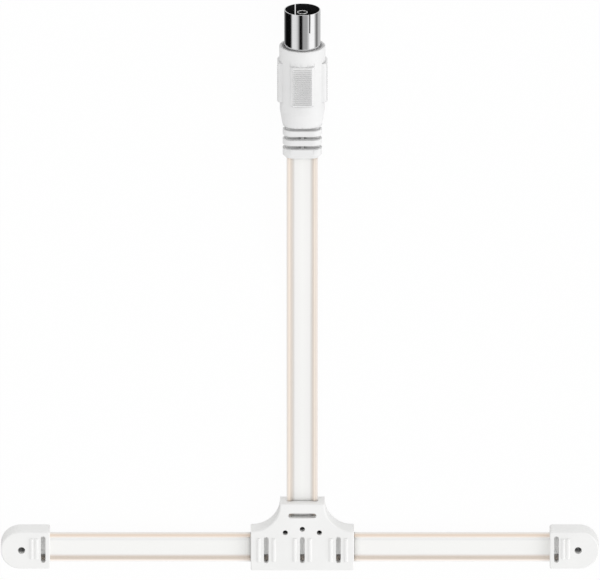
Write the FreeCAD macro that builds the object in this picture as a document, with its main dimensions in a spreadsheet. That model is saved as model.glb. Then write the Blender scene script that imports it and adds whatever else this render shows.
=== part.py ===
"""FM ribbon dipole: a T of flat twin lead with moulded ends, a moulded junction and a coaxial socket.

The antenna lies on its back, as it would be pinned to a wall. The dipole runs along X, the feeder along +Y,
and +Z is the front. The origin is on the junction's back face, at the middle of the dipole ribbon.
"""
import FreeCAD, Part
import math
import os

import Sketcher
from FreeCAD import Placement, Rotation, Vector

os.makedirs("parts", exist_ok=True)
doc = FreeCAD.newDocument("ribbon_dipole")

# Driving dimensions in millimetres
DIMENSIONS = {
    # Twin lead: two round beads with a wire in each, joined by a thin web
    "wire_spacing": 7.2,
    "bead_diameter": 1.6,
    "web_thickness": 0.7,
    "wire_diameter": 0.8,
    "left_arm": 56.5,
    "right_arm": 55.1,
    "feeder_run": 104.8,
    # Moulded junction
    "housing_depth": 6.0,
    "block_width": 29.1,
    "block_head": 5.75,
    "block_foot": 6.1,
    "neck_width": 12.5,
    "shoulder_margin": 0.4,
    "neck_straight": 0.35,
    "corner_radius": 0.6,
    "front_bevel": 0.28,
    "slot_width": 1.3,
    "slot_length": 7.85,
    "slot_margin": 4.4,
    "slot_lift": 0.12,
    "slot_depth": 1.9,
    "well_length": 2.0,
    "rib_width": 1.2,
    "rib_length": 6.9,
    "rib_height": 0.45,
    "rib_slope": 0.43,
    "rib_offset": 2.15,
    "cross_slot_length": 7.9,
    "cross_slot_width": 1.45,
    "cross_slot_margin": 3.55,
    "locator_diameter": 1.5,
    "locator_offset": 4.8,
    "locator_place": 5.35,
    "locator_depth": 5.2,
    "window_place": 6.4,
    # Moulded end caps
    "cap_length": 13.85,
    "cap_height": 11.2,
    "cap_corner": 0.7,
    "cap_slot_length": 7.95,
    "cap_slot_place": 1.9,
    "cap_slot_lift": 0.28,
    "cap_rib_width": 1.2,
    "cap_rib_length": 6.0,
    "cap_rib_lift": 0.5,
    "cap_rib_first": 3.8,
    "cap_rib_pitch": 1.35,
    "nail_hole_diameter": 2.05,
    "nail_hole_place": 8.0,
    "cap_seat": 4.6,
    # Joints between the wires
    "link_diameter": 1.6,
    "link_length": 8.4,
    "splice_length": 2.4,
    "splice_height": 1.9,
    "feeder_gap": 0.6,
    # Moulded boot of the socket
    "relief_length": 9.5,
    "relief_width": 11.0,
    "relief_height": 5.6,
    "relief_edge": 0.8,
    "relief_groove_pitch": 2.75,
    "relief_groove_width": 1.2,
    "relief_groove_depth": 1.3,
    "relief_groove_side": 0.7,
    "relief_spine": 1.0,
    "relief_slit_width": 4.1,
    "relief_slit_floor": 1.0,
    "taper_end_height": 7.6,
    "taper_length": 4.7,
    "barrel_length": 18.6,
    "barrel_diameter": 12.6,
    "rim_diameter": 12.95,
    "rim_edge": 0.45,
    "grip_span": 14.1,
    "grip_width": 6.7,
    "grip_length": 11.4,
    "grip_start": 3.1,
    "grip_slope": 0.95,
    "grip_end_edge": 0.4,
    "grip_panel_depth": 0.3,
    "grip_panel_margin": 0.3,
    "boot_seat": 12.0,
    # Coaxial socket
    "shell_diameter": 10.15,
    "shell_wall": 0.28,
    "shell_reach": 10.9,
    "shell_seat": 8.0,
    "slit_width": 0.3,
    "slit_length": 5.45,
    "slit_angle": 24,
    "contact_diameter": 3.05,
    "contact_bore": 2.35,
    "contact_bore_depth": 8.0,
    "contact_setback": 0.75,
    "tail_diameter": 2.0,
    "tail_length": 7.8,
    "insulator_thickness": 4.2,
    "insulator_setback": 9.5,
    # Matching transformer inside the boot
    "core_width": 8.2,
    "core_height": 4.6,
    "core_length": 6.0,
    "core_start": 4.5,
    "core_hole_diameter": 1.7,
    "core_hole_spacing": 3.8,
    "core_edge": 0.4,
    "winding_wire": 0.6,
    "winding_rise": 0.5,
}

dims = doc.addObject("Spreadsheet::Sheet", "dims")
for row, (alias, value) in enumerate(DIMENSIONS.items(), start=1):
    dims.set(f"A{row}", alias)
    dims.set(f"B{row}", str(value))
    dims.setAlias(f"B{row}", alias)
doc.recompute()


def size(text):
    """Value of an expression in the sheet's sizes, in millimetres or degrees."""
    return float(dims.evalExpression(text))


def bind(item, **expressions):
    """Tie properties of an object to expressions in the sheet's sizes."""
    for name, text in expressions.items():
        item.setExpression(name, text)
    return item


def place(item, x="0", y="0", z="0", turn=None):
    """Put an object at a place given by expressions, turned first if a rotation is given."""
    if turn is not None:
        item.Placement = Placement(Vector(), turn)
    for axis, text in zip("xyz", (x, y, z)):
        item.setExpression(f"Placement.Base.{axis}", text)
    return item


ALONG = {"X": Rotation(Vector(0, 1, 0), 90), "Y": Rotation(Vector(1, 0, 0), -90), "Z": Rotation()}


def rod(name, diameter, length, along, x="0", y="0", z="0"):
    """Round bar that starts at a point and runs along a positive axis."""
    bar = bind(doc.addObject("Part::Cylinder", name), Radius=f"({diameter}) / 2", Height=length)
    return place(bar, x, y, z, ALONG[along])


def block(name, lengths, x="0", y="0", z="0"):
    """Box centred on a point, with its lengths along X, Y and Z."""
    box = bind(doc.addObject("Part::Box", name), Length=lengths[0], Width=lengths[1], Height=lengths[2])
    corner = [f"{at} - ({length}) / 2" for at, length in zip((x, y, z), lengths)]
    return place(box, *corner)


def fuse(name, pieces):
    joined = doc.addObject("Part::MultiFuse", name)
    joined.Shapes = pieces
    return joined


def cut(name, base, tools):
    """The base less every tool."""
    remainder = doc.addObject("Part::Cut", name)
    remainder.Base = base
    remainder.Tool = tools[0] if len(tools) == 1 else fuse(f"{name}_tools", tools)
    return remainder


def bevel_edges(name, base, widths):
    """Chamfer the edges of a solid: widths pairs a width with the test for the edges that get it."""
    doc.recompute()
    edges = list(enumerate(base.Shape.Edges, start=1))
    bevelled = doc.addObject("Part::Chamfer", name)
    bevelled.Base = base
    bevelled.Edges = [(n, size(width), size(width)) for width, wanted in widths for n, edge in edges if wanted(edge)]
    return bevelled


def new_body(name):
    return doc.addObject("PartDesign::Body", name)


def new_sketch(body, name, plane="XY_Plane", lift=None):
    """Sketch on one of the body's own origin planes, lifted along its normal by an expression."""
    sketch = body.newObject("Sketcher::SketchObject", name)
    origin_plane = next(item for item in body.Origin.OriginFeatures if item.Role == plane)
    sketch.AttachmentSupport = (origin_plane, [""])
    sketch.MapMode = "FlatFace"
    if lift:
        sketch.setExpression("AttachmentOffset.Base.z", lift)
    return sketch


def hold_point(sketch, curve, end, name, x, y):
    """Fix a sketch point at a place given by two expressions."""
    for axis, text in (("X", x), ("Y", y)):
        rule = Sketcher.Constraint(f"Distance{axis}", -1, 1, curve, end, size(text))
        number = sketch.addConstraint(rule)
        sketch.renameConstraint(number, f"{name}_{axis.lower()}")
        sketch.setExpression(f"Constraints.{name}_{axis.lower()}", text)


def draw_outline(sketch, corners):
    """Closed outline of straight lines through corners given by expressions."""
    points = [Vector(size(x), size(y), 0) for x, y in corners]
    first = sketch.GeometryCount
    count = len(points)
    for n in range(count):
        sketch.addGeometry(Part.LineSegment(points[n], points[(n + 1) % count]), False)
    for n in range(count):
        sketch.addConstraint(Sketcher.Constraint("Coincident", first + n, 2, first + (n + 1) % count, 1))
    for n, (x, y) in enumerate(corners):
        hold_point(sketch, first + n, 1, f"corner_{first + n}", x, y)


def draw_rectangle(sketch, width, height, x="0", y="0"):
    left, right = f"{x} - ({width}) / 2", f"{x} + ({width}) / 2"
    low, high = f"{y} - ({height}) / 2", f"{y} + ({height}) / 2"
    draw_outline(sketch, [(left, low), (right, low), (right, high), (left, high)])


def draw_circle(sketch, diameter, x="0", y="0"):
    centre = Vector(size(x), size(y), 0)
    curve = sketch.addGeometry(Part.Circle(centre, Vector(0, 0, 1), size(diameter) / 2), False)
    number = sketch.addConstraint(Sketcher.Constraint("Diameter", curve, size(diameter)))
    sketch.renameConstraint(number, f"diameter_{curve}")
    sketch.setExpression(f"Constraints.diameter_{curve}", diameter)
    hold_point(sketch, curve, 3, f"centre_{curve}", x, y)


def draw_slot(sketch, length, width, x="0", y="0", upright=True):
    """Round-ended slot centred on a point, along Y if upright and along X if not."""
    half = f"(({length}) - ({width})) / 2"
    radius = size(width) / 2
    direction = Vector(0, 1, 0) if upright else Vector(1, 0, 0)
    side = Vector(1, 0, 0) if upright else Vector(0, -1, 0)
    middle = Vector(size(x), size(y), 0)
    start_angle = 0 if upright else -math.pi / 2
    far, near = middle + direction * size(half), middle - direction * size(half)
    normal = Vector(0, 0, 1)
    far_end = sketch.addGeometry(
        Part.ArcOfCircle(Part.Circle(far, normal, radius), start_angle, start_angle + math.pi), False)
    near_end = sketch.addGeometry(
        Part.ArcOfCircle(Part.Circle(near, normal, radius), start_angle + math.pi, start_angle + 2 * math.pi),
        False)
    lower_side = sketch.addGeometry(Part.LineSegment(near + side * radius, far + side * radius), False)
    upper_side = sketch.addGeometry(Part.LineSegment(far - side * radius, near - side * radius), False)
    for rule in (("Tangent", lower_side, 2, far_end, 1), ("Tangent", far_end, 2, upper_side, 1),
                 ("Tangent", upper_side, 2, near_end, 1), ("Tangent", near_end, 2, lower_side, 1),
                 ("Equal", far_end, near_end)):
        sketch.addConstraint(Sketcher.Constraint(*rule))
    number = sketch.addConstraint(Sketcher.Constraint("Radius", far_end, radius))
    sketch.renameConstraint(number, f"radius_{far_end}")
    sketch.setExpression(f"Constraints.radius_{far_end}", f"({width}) / 2")
    if upright:
        hold_point(sketch, far_end, 3, f"centre_{far_end}", x, f"{y} + {half}")
        hold_point(sketch, near_end, 3, f"centre_{near_end}", x, f"{y} - {half}")
    else:
        hold_point(sketch, far_end, 3, f"centre_{far_end}", f"{x} + {half}", y)
        hold_point(sketch, near_end, 3, f"centre_{near_end}", f"{x} - {half}", y)


def pad(body, sketch, name, length):
    feature = body.newObject("PartDesign::Pad", name)
    feature.Profile = sketch
    feature.setExpression("Length", length)
    doc.recompute()
    return feature


def pocket(body, sketch, name, length):
    """Pocket from a sketch on the front face downwards, which has to take material away."""
    before = body.Shape.Volume
    feature = body.newObject("PartDesign::Pocket", name)
    feature.Profile = sketch
    feature.setExpression("Length", length)
    doc.recompute()
    assert body.Shape.Volume < before, f"{name} cuts nothing"
    return feature


def dress(body, base, name, kind, measure, wanted):
    """Fillet or chamfer the edges of a feature for which wanted(edge) is true."""
    chosen = [f"Edge{n}" for n, edge in enumerate(base.Shape.Edges, start=1) if wanted(edge)]
    feature = body.newObject(f"PartDesign::{kind}", name)
    feature.Base = (base, chosen)
    feature.setExpression("Radius" if kind == "Fillet" else "Size", measure)
    doc.recompute()
    return feature


def upright_at(x, y):
    """Test for the upright edge that stands at a point of the outline."""
    def wanted(edge):
        box = edge.BoundBox
        return box.ZLength > 1 and math.hypot(box.Center.x - x, box.Center.y - y) < 0.01
    return wanted


def lies_at_height(height):
    def wanted(edge):
        return abs(edge.BoundBox.ZMin - height) < 0.01 and abs(edge.BoundBox.ZMax - height) < 0.01
    return wanted


def rib_crest(height):
    """Test for the long upper edges of ribs that run along Y and stand to a height."""
    at_height = lies_at_height(height)
    return lambda edge: at_height(edge) and edge.BoundBox.YLength > 1 and edge.BoundBox.XLength < 0.01


BEAD_SIDES, WIRE_SIDES = 12, 6

# Places that several pieces share
MID_HEIGHT = "dims.housing_depth / 2"
LEFT_MOUTH = "-(dims.block_width / 2 + dims.left_arm)"
RIGHT_MOUTH = "dims.block_width / 2 + dims.right_arm"
RIBBON_START = f"{LEFT_MOUTH} - dims.cap_seat"
RIBBON_LENGTH = "dims.block_width + dims.left_arm + dims.right_arm + 2 * dims.cap_seat"
WIRE_OFFSET = "dims.wire_spacing / 2"
FEEDER_END = "(dims.wire_spacing + dims.bead_diameter) / 2 + dims.feeder_gap"
SHOULDER = "((dims.block_width - dims.neck_width) / 2 - dims.shoulder_margin)"
NECK_TOP = f"(dims.block_head + {SHOULDER} + dims.neck_straight)"
BOOT_PLACE = f"{NECK_TOP} + dims.feeder_run"
BOOT_AXIS = "dims.grip_span / 2"
front = size("dims.housing_depth")
crest = size("dims.housing_depth + dims.rib_height")


def ribbon_bar(name, length, along, x="0", y="0", z="0"):
    """Straight bar with the outline of the twin lead: a web between two round beads."""
    width, thick = "dims.wire_spacing", "dims.web_thickness"
    if along == "X":
        web = block(f"{name}_web", (length, width, thick), f"{x} + ({length}) / 2", y, z)
        beads = [rod(f"{name}_bead_{n}", "dims.bead_diameter", length, along, x, f"{y} {sign} {WIRE_OFFSET}", z)
                 for n, sign in enumerate("-+")]
    else:
        web = block(f"{name}_web", (width, length, thick), x, f"{y} + ({length}) / 2", z)
        beads = [rod(f"{name}_bead_{n}", "dims.bead_diameter", length, along, f"{x} {sign} {WIRE_OFFSET}", y, z)
                 for n, sign in enumerate("-+")]
    return fuse(name, [web] + beads)


def corner_radius(before, corner, after):
    """Radius of a bend whose arc takes 0.45 of the shorter run on each side of its corner."""
    incoming, outgoing = corner - before, after - corner
    turn = incoming.getAngle(outgoing)
    return 0.45 * min(incoming.Length, outgoing.Length) / math.tan(turn / 2)


def bent_path(points):
    """Straight runs joined by tangent arcs."""
    edges, start = [], points[0]
    for before, corner, after in zip(points, points[1:], points[2:]):
        incoming, outgoing = corner - before, after - corner
        reach = 0.45 * min(incoming.Length, outgoing.Length)
        turn = incoming.getAngle(outgoing)
        radius = corner_radius(before, corner, after)
        arc_start = corner - incoming.normalize() * reach
        arc_end = corner + outgoing.normalize() * reach
        inward = (arc_start + arc_end) * 0.5 - corner
        to_arc = radius / math.cos(turn / 2) - radius
        middle = corner + inward.normalize() * to_arc
        edges.append(Part.LineSegment(start, arc_start).toShape())
        edges.append(Part.Arc(arc_start, middle, arc_end).toShape())
        start = arc_end
    edges.append(Part.LineSegment(start, points[-1]).toShape())
    return Part.Wire(edges)


def sweep(path, section):
    """Solid of a closed section along a path, with its volume compared with area times length."""
    solid = path.makePipeShell([section], True, False)
    expected = Part.Face(section).Area * path.Length
    assert abs(solid.Volume - expected) < 0.02 * expected, f"sweep {solid.Volume:.1f}, expected {expected:.1f}"
    return solid


def round_section(path, radius, sides):
    """Round wire or bead as a polygon across the start of a path that leaves along Y."""
    centre = path.Edges[0].valueAt(path.Edges[0].FirstParameter)
    angles = [2 * math.pi * (n + 0.5) / sides for n in range(sides)]
    corners = [centre + Vector(radius * math.cos(angle), 0, radius * math.sin(angle)) for angle in angles]
    return Part.makePolygon(corners + corners[:1])


def solid_part(name, shape):
    part = doc.addObject("Part::Feature", name)
    part.Shape = shape
    part.Placement = Placement()
    return part


# Solder joints and wires of the folded dipole: the lower wire is whole and the upper one is cut in the middle,
# where the feeder's wires join its two ends, and a link at each end of the ribbon joins the two wires.
wire_end = "dims.cap_seat + dims.link_diameter * 0.9"
wire_start = f"{LEFT_MOUTH} - ({wire_end})"
half_wire_left = f"dims.block_width / 2 + dims.left_arm + {wire_end} - {WIRE_OFFSET} + dims.splice_length / 2"
half_wire_right = f"dims.block_width / 2 + dims.right_arm + {wire_end} - {WIRE_OFFSET} + dims.splice_length / 2"
lower_wire = rod("dipole_wire_lower", "dims.wire_diameter",
                 f"dims.block_width + dims.left_arm + dims.right_arm + 2 * ({wire_end})", "X",
                 wire_start, f"-{WIRE_OFFSET}", MID_HEIGHT)
upper_left = rod("dipole_wire_upper_left", "dims.wire_diameter", half_wire_left, "X",
                 wire_start, WIRE_OFFSET, MID_HEIGHT)
upper_right = rod("dipole_wire_upper_right", "dims.wire_diameter", half_wire_right, "X",
                  f"{WIRE_OFFSET} - dims.splice_length / 2", WIRE_OFFSET, MID_HEIGHT)

splice_blocks, link_bars = [], []
for side, sign, wire in (("left", "-", upper_left), ("right", "", upper_right)):
    splice_block = block(f"splice_block_{side}", ("dims.splice_length", "dims.splice_height", "dims.splice_height"),
                         f"{sign}{WIRE_OFFSET}", WIRE_OFFSET, MID_HEIGHT)
    cut(f"splice_{side}", splice_block, [wire])
    splice_blocks.append(splice_block)
for side, mouth, sign in (("left", LEFT_MOUTH, "-"), ("right", RIGHT_MOUTH, "+")):
    link_bar = rod(f"link_bar_{side}", "dims.link_diameter", "dims.link_length", "Y",
                   f"{mouth} {sign} (dims.cap_seat + dims.link_diameter / 2)", "-dims.link_length / 2", MID_HEIGHT)
    upper = upper_left if side == "left" else upper_right
    cut(f"end_link_{side}", link_bar, [lower_wire, upper])
    link_bars.append(link_bar)

# Dipole ribbon: one length of twin lead from end cap to end cap, its upper bead stripped at the two splices
dipole_bar = ribbon_bar("dipole_bar", RIBBON_LENGTH, "X", RIBBON_START, "0", MID_HEIGHT)
bores = [rod(f"dipole_bore_{n}", "dims.wire_diameter", RIBBON_LENGTH, "X", RIBBON_START,
             f"{sign}{WIRE_OFFSET}", MID_HEIGHT) for n, sign in enumerate(("-", ""))]
cut("dipole_ribbon", dipole_bar, bores + splice_blocks)

# Feeder ribbon: straight out of the junction, down to the surface that the antenna lies on, and up to the boot
mid_height, boot_axis = size(MID_HEIGHT), size(BOOT_AXIS)
neck_top, run = size(NECK_TOP), size("dims.feeder_run")
FEEDER_ROUTE = [
    (neck_top, mid_height),
    (neck_top + 12.0, mid_height),
    (neck_top + 32.0, 1.0),
    (neck_top + 52.0, 0.9),
    (neck_top + 66.0, 2.0),
    (neck_top + run - 24.3, 5.6),
    (neck_top + run - 11.8, boot_axis),
    (neck_top + run, boot_axis),
]
seat_in_neck = neck_top - size(FEEDER_END)
seat_in_boot = size("dims.boot_seat")
route = [Vector(0, y, z) for y, z in FEEDER_ROUTE]
swept_points = ([route[0] - Vector(0, seat_in_neck, 0)] + route[1:-1] + [route[-1] + Vector(0, seat_in_boot, 0)])
for before, corner, after in zip(route, route[1:], route[2:]):
    print(f"feeder bend at y {corner.y:.1f}: radius {corner_radius(before, corner, after):.1f} mm")
print(f"feeder free length {bent_path(route).Length:.1f} mm")
feeder_path = bent_path(route)
head = Part.LineSegment(swept_points[0], route[0]).toShape()
tail = Part.LineSegment(route[-1], swept_points[-1]).toShape()
feeder_path = Part.Wire([head] + feeder_path.Edges + [tail])

half_spacing = size(WIRE_OFFSET)
half_web = size("dims.web_thickness") / 2
start_y, start_z = swept_points[0].y, swept_points[0].z
web_corners = [Vector(x, start_y, start_z + z) for x, z in (
    (-half_spacing, -half_web), (half_spacing, -half_web), (half_spacing, half_web), (-half_spacing, half_web))]
web_section = Part.makePolygon(web_corners + web_corners[:1])
feeder_solid = sweep(feeder_path, web_section)
for side in (-1, 1):
    at_bead = Vector(side * half_spacing, 0, 0)
    bead_path = feeder_path.translated(at_bead)
    bead_section = round_section(bead_path, size("dims.bead_diameter") / 2, BEAD_SIDES)
    feeder_solid = feeder_solid.fuse(sweep(bead_path, bead_section))
wire_radius = size("dims.wire_diameter") / 2
splice_top = size(f"{WIRE_OFFSET} + dims.splice_height / 2")
hole_offset = size("dims.core_hole_spacing / 2")
rise = size("dims.winding_rise")
core_rear = size(BOOT_PLACE) + seat_in_boot + size("dims.core_start")
for name, side in (("feeder_wire_left", -1), ("feeder_wire_right", 1)):
    at_bead = Vector(side * half_spacing, 0, 0)
    core_path = feeder_path.translated(at_bead)
    feeder_solid = feeder_solid.cut(sweep(core_path, round_section(core_path, wire_radius, WIRE_SIDES)))
    stub = Part.LineSegment(Vector(side * half_spacing, splice_top, mid_height), core_path.Vertexes[0].Point)
    wire_tail = swept_points[-1] + at_bead
    to_core = bent_path([wire_tail, wire_tail + Vector(0, 1.0, 0),
                         Vector(side * hole_offset, core_rear - 1.6, boot_axis + rise),
                         Vector(side * hole_offset, core_rear - 0.8, boot_axis + rise)])
    whole_path = Part.Wire([stub.toShape()] + core_path.Edges + to_core.Edges)
    solid_part(name, sweep(whole_path, round_section(whole_path, wire_radius, WIRE_SIDES)))
solid_part("feeder_ribbon", feeder_solid.removeSplitter())

# Junction: PVC moulded round both ribbons, with the slots and holes that the mould's holding pins leave
junction = new_body("junction_form")
outline = new_sketch(junction, "junction_outline")
half_block, head, foot = "dims.block_width / 2", "dims.block_head", "-dims.block_foot"
half_neck = "dims.neck_width / 2"
draw_outline(outline, [
    (f"-{half_block}", foot), (half_block, foot), (half_block, head), (half_neck, head),
    (half_neck, NECK_TOP), (f"-{half_neck}", NECK_TOP), (f"-{half_neck}", head), (f"-{half_block}", head)])
shape = pad(junction, outline, "junction_pad", "dims.housing_depth")
for n, sign in enumerate((-1, 1)):
    corner = upright_at(sign * size(half_neck), size(head))
    shape = dress(junction, shape, f"shoulder_{n}", "Fillet", SHOULDER, corner)
    corner = upright_at(sign * size(half_block), size(foot))
    shape = dress(junction, shape, f"foot_corner_{n}", "Fillet", "dims.corner_radius", corner)
shape = dress(junction, shape, "junction_front_bevel", "Chamfer", "dims.front_bevel", lies_at_height(front))


def draw_well(boxes, rounds, column, lower_end, up):
    """The deeper end of a holding slot, which reaches the ribbon's lower wire: a box and the slot's round end."""
    round_centre = f"{lower_end} {'+' if up > 0 else '-'} dims.slot_width / 2"
    reach = "(dims.well_length - dims.slot_width / 2)"
    draw_circle(rounds, "dims.slot_width", column, round_centre)
    draw_rectangle(boxes, "dims.slot_width", reach, column, f"{round_centre} {'+' if up > 0 else '-'} {reach} / 2")


ribs = new_sketch(junction, "junction_rib_outlines")
slots, well_boxes, well_rounds, cross_slot = [
    new_sketch(junction, f"junction_{name}_outlines", lift="dims.housing_depth")
    for name in ("slot", "well_box", "well_round", "cross_slot")]
slot_end = "dims.slot_lift - dims.slot_length / 2"
for column in ("dims.slot_margin - dims.block_width / 2", "0", "dims.block_width / 2 - dims.slot_margin"):
    draw_slot(slots, "dims.slot_length", "dims.slot_width", column, "dims.slot_lift")
    draw_well(well_boxes, well_rounds, column, slot_end, 1)
    for side in "-+":
        draw_rectangle(ribs, "dims.rib_width", "dims.rib_length",
                       f"{column} {side} dims.rib_offset", "dims.slot_lift")
draw_slot(cross_slot, "dims.cross_slot_length", "dims.cross_slot_width", "0",
          f"{NECK_TOP} - dims.cross_slot_margin", upright=False)
draw_circle(cross_slot, "dims.locator_diameter", "0", "dims.window_place")
shape = pad(junction, ribs, "junction_ribs", "dims.housing_depth + dims.rib_height")
dress(junction, shape, "junction_rib_slopes", "Chamfer", "dims.rib_slope", rib_crest(crest))
pocket(junction, slots, "junction_slots", "dims.slot_depth")
pocket(junction, well_boxes, "junction_well_boxes", MID_HEIGHT)
pocket(junction, well_rounds, "junction_well_rounds", MID_HEIGHT)
pocket(junction, cross_slot, "junction_cross_slot", MID_HEIGHT)
locators = new_sketch(junction, "junction_locators", lift="dims.housing_depth")
for sign in ("-", ""):
    draw_circle(locators, "dims.locator_diameter", f"{sign}dims.locator_offset", "dims.locator_place")
pocket(junction, locators, "junction_locator_holes", "dims.locator_depth")

neck_bar = ribbon_bar("neck_bar", f"{NECK_TOP} - ({FEEDER_END})", "Y", "0", FEEDER_END, MID_HEIGHT)
bare_wires = [rod(f"bare_wire_{n}", "dims.wire_diameter", NECK_TOP, "Y", f"{sign}{WIRE_OFFSET}",
                  WIRE_OFFSET, MID_HEIGHT) for n, sign in enumerate(("-", ""))]
cut("junction_housing", junction, [dipole_bar, neck_bar] + splice_blocks + bare_wires)


def end_cap(side, mouth, turn, up):
    """Round-ended cap moulded over the ribbon's end, with its mouth at X = 0 and its round end at -X.
    Its slot and ribs lie off centre, towards local +Y where up is 1 and -Y where it is -1."""
    body = new_body(f"cap_form_{side}")
    profile = new_sketch(body, f"cap_outline_{side}")
    straight, half = "dims.cap_length - dims.cap_height / 2", "dims.cap_height / 2"
    draw_rectangle(profile, straight, "dims.cap_height", f"-({straight}) / 2", "0")
    cap = pad(body, profile, f"cap_pad_{side}", "dims.housing_depth")
    for n, sign in enumerate((-1, 1)):
        corner = upright_at(0, sign * size(half))
        cap = dress(body, cap, f"cap_corner_{side}_{n}", "Fillet", "dims.cap_corner", corner)
    nose = new_sketch(body, f"cap_nose_outline_{side}")
    draw_circle(nose, "dims.cap_height", f"-({straight})", "0")
    cap = pad(body, nose, f"cap_nose_{side}", "dims.housing_depth")
    cap = dress(body, cap, f"cap_front_bevel_{side}", "Chamfer", "dims.front_bevel", lies_at_height(front))
    raised = new_sketch(body, f"cap_rib_outlines_{side}")
    for n in range(2):
        draw_rectangle(raised, "dims.cap_rib_width", "dims.cap_rib_length",
                       f"-(dims.cap_rib_first + {n} * dims.cap_rib_pitch)", f"{up} * dims.cap_rib_lift")
    cap = pad(body, raised, f"cap_ribs_{side}", "dims.housing_depth + dims.rib_height")
    dress(body, cap, f"cap_rib_slopes_{side}", "Chamfer", "dims.rib_slope", rib_crest(crest))
    opening, well_box, well_round = [new_sketch(body, f"cap_{name}_outline_{side}", lift="dims.housing_depth")
                                     for name in ("slot", "well_box", "well_round")]
    draw_slot(opening, "dims.cap_slot_length", "dims.slot_width", "-dims.cap_slot_place",
              f"{up} * dims.cap_slot_lift")
    draw_well(well_box, well_round, "-dims.cap_slot_place",
              f"{up} * (dims.cap_slot_lift - dims.cap_slot_length / 2)", up)
    pocket(body, opening, f"cap_slot_{side}", "dims.slot_depth")
    pocket(body, well_box, f"cap_well_box_{side}", MID_HEIGHT)
    pocket(body, well_round, f"cap_well_round_{side}", MID_HEIGHT)
    nail = new_sketch(body, f"nail_hole_outline_{side}", lift="dims.housing_depth")
    draw_circle(nail, "dims.nail_hole_diameter", "-dims.nail_hole_place", "0")
    pocket(body, nail, f"nail_hole_{side}", "dims.housing_depth")
    place(body, mouth, turn=turn)
    return body


for side, mouth, turn, up, link_bar in (("left", LEFT_MOUTH, Rotation(), 1, link_bars[0]),
                                        ("right", RIGHT_MOUTH, Rotation(Vector(0, 0, 1), 180), -1, link_bars[1])):
    cap_form = end_cap(side, mouth, turn, up)
    cut(f"end_cap_{side}", cap_form, [dipole_bar, link_bar, lower_wire, upper_left, upper_right])

# Boot: PVC moulded over the socket's rear and the ribbon, built about its own axis along Y and then put in place
rear = "dims.relief_length + dims.taper_length"
rim = f"{rear} + dims.barrel_length"


def ring_section(name, width, height, y):
    """Ellipse across the boot's axis, a circle where both sizes are the same."""
    curve = doc.addObject("Part::Ellipse", name)
    bind(curve, MajorRadius=f"({width}) / 2", MinorRadius=f"({height}) / 2")
    return place(curve, y=y, turn=Rotation(Vector(1, 0, 0), 90))


def loft(name, sections):
    body = doc.addObject("Part::Loft", name)
    body.Sections = sections
    body.Solid = True
    body.Ruled = True
    return body


taper = loft("taper_form", [
    ring_section("taper_start", "dims.relief_width", "dims.taper_end_height", "dims.relief_length"),
    ring_section("taper_end", "dims.barrel_diameter", "dims.barrel_diameter", rear)])


def obround(name, width, height, y, length):
    """Bar along Y with flat front and back and half-round sides."""
    middle = block(f"{name}_middle", (f"{width} - ({height})", length, height), "0", f"{y} + ({length}) / 2", "0")
    sides = [rod(f"{name}_side_{n}", height, length, "Y", f"{sign}({width} - ({height})) / 2", y, "0")
             for n, sign in enumerate(("-", ""))]
    bar = fuse(name, [middle] + sides)
    bar.Refine = True
    return bar


relief = obround("relief_form", "dims.relief_width", "dims.relief_height", "0", "dims.relief_length")
relief = bevel_edges("relief_bevelled", relief, [("dims.relief_edge", lambda edge: edge.BoundBox.YMax < 0.01)])
barrel = doc.addObject("Part::Cone", "barrel_form")
bind(barrel, Radius1="dims.barrel_diameter / 2", Radius2="dims.rim_diameter / 2", Height="dims.barrel_length")
place(barrel, y=rear, turn=ALONG["Y"])
rim_place = size(rim)
barrel = bevel_edges("barrel_bevelled", barrel,
                     [("dims.rim_edge", lambda edge: edge.BoundBox.YMin > rim_place - 0.01)])

grip_middle = f"{rear} + dims.grip_start + dims.grip_length / 2"
grips = [
    block("grip_sides", ("dims.grip_span", "dims.grip_length", "dims.grip_width"), "0", grip_middle, "0"),
    block("grip_faces", ("dims.grip_width", "dims.grip_length", "dims.grip_span"), "0", grip_middle, "0")]
grips = [bevel_edges(f"{grip.Name}_sloped", grip, [
    ("dims.grip_slope", lambda edge: edge.BoundBox.YLength > 1),
    ("dims.grip_end_edge", lambda edge: edge.Length < size("dims.grip_width") + 0.01)]) for grip in grips]

# The ridged panel of each pad lies in a shallow recess
panel_across = "(dims.grip_width - 2 * (dims.grip_slope + dims.grip_panel_margin))"
panel_along = "(dims.grip_length - 2 * (dims.grip_end_edge + dims.grip_panel_margin))"
panel_place = "(dims.grip_span / 2 - dims.grip_panel_depth / 2)"
panels = []
for sign in ("-", ""):
    where = "low" if sign else "high"
    panels.append(block(f"grip_panel_side_{where}", ("dims.grip_panel_depth", panel_along, panel_across),
                        f"{sign}{panel_place}", grip_middle, "0"))
    panels.append(block(f"grip_panel_face_{where}", (panel_across, panel_along, "dims.grip_panel_depth"),
                        "0", grip_middle, f"{sign}{panel_place}"))

relief_cuts = []
for n in range(3):
    at = f"dims.relief_length - dims.relief_groove_width / 2 - {n} * dims.relief_groove_pitch"
    start = f"{at} - dims.relief_groove_width / 2"
    ring = block(f"relief_ring_{n}", ("2 * dims.relief_width", "dims.relief_groove_width",
                                      "2 * dims.relief_height"), "0", at, "0")
    core = obround(f"relief_core_{n}", "dims.relief_width - 2 * dims.relief_groove_side",
                   "dims.relief_height - 2 * dims.relief_groove_depth", start, "dims.relief_groove_width")
    relief_cuts.append(cut(f"relief_groove_{n}", ring, [core]))
    if n == 0:
        continue
    for side in ("-", ""):
        for face in ("-", ""):
            reach = "dims.relief_height / 2"
            relief_cuts.append(block(
                f"relief_slit_{n}{'a' if side else 'b'}{'a' if face else 'b'}",
                ("dims.relief_slit_width", "dims.relief_groove_width", f"{reach} - dims.relief_slit_floor"),
                f"{side}(dims.relief_spine + dims.relief_slit_width) / 2", at,
                f"{face}({reach} + dims.relief_slit_floor) / 2"))

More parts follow.
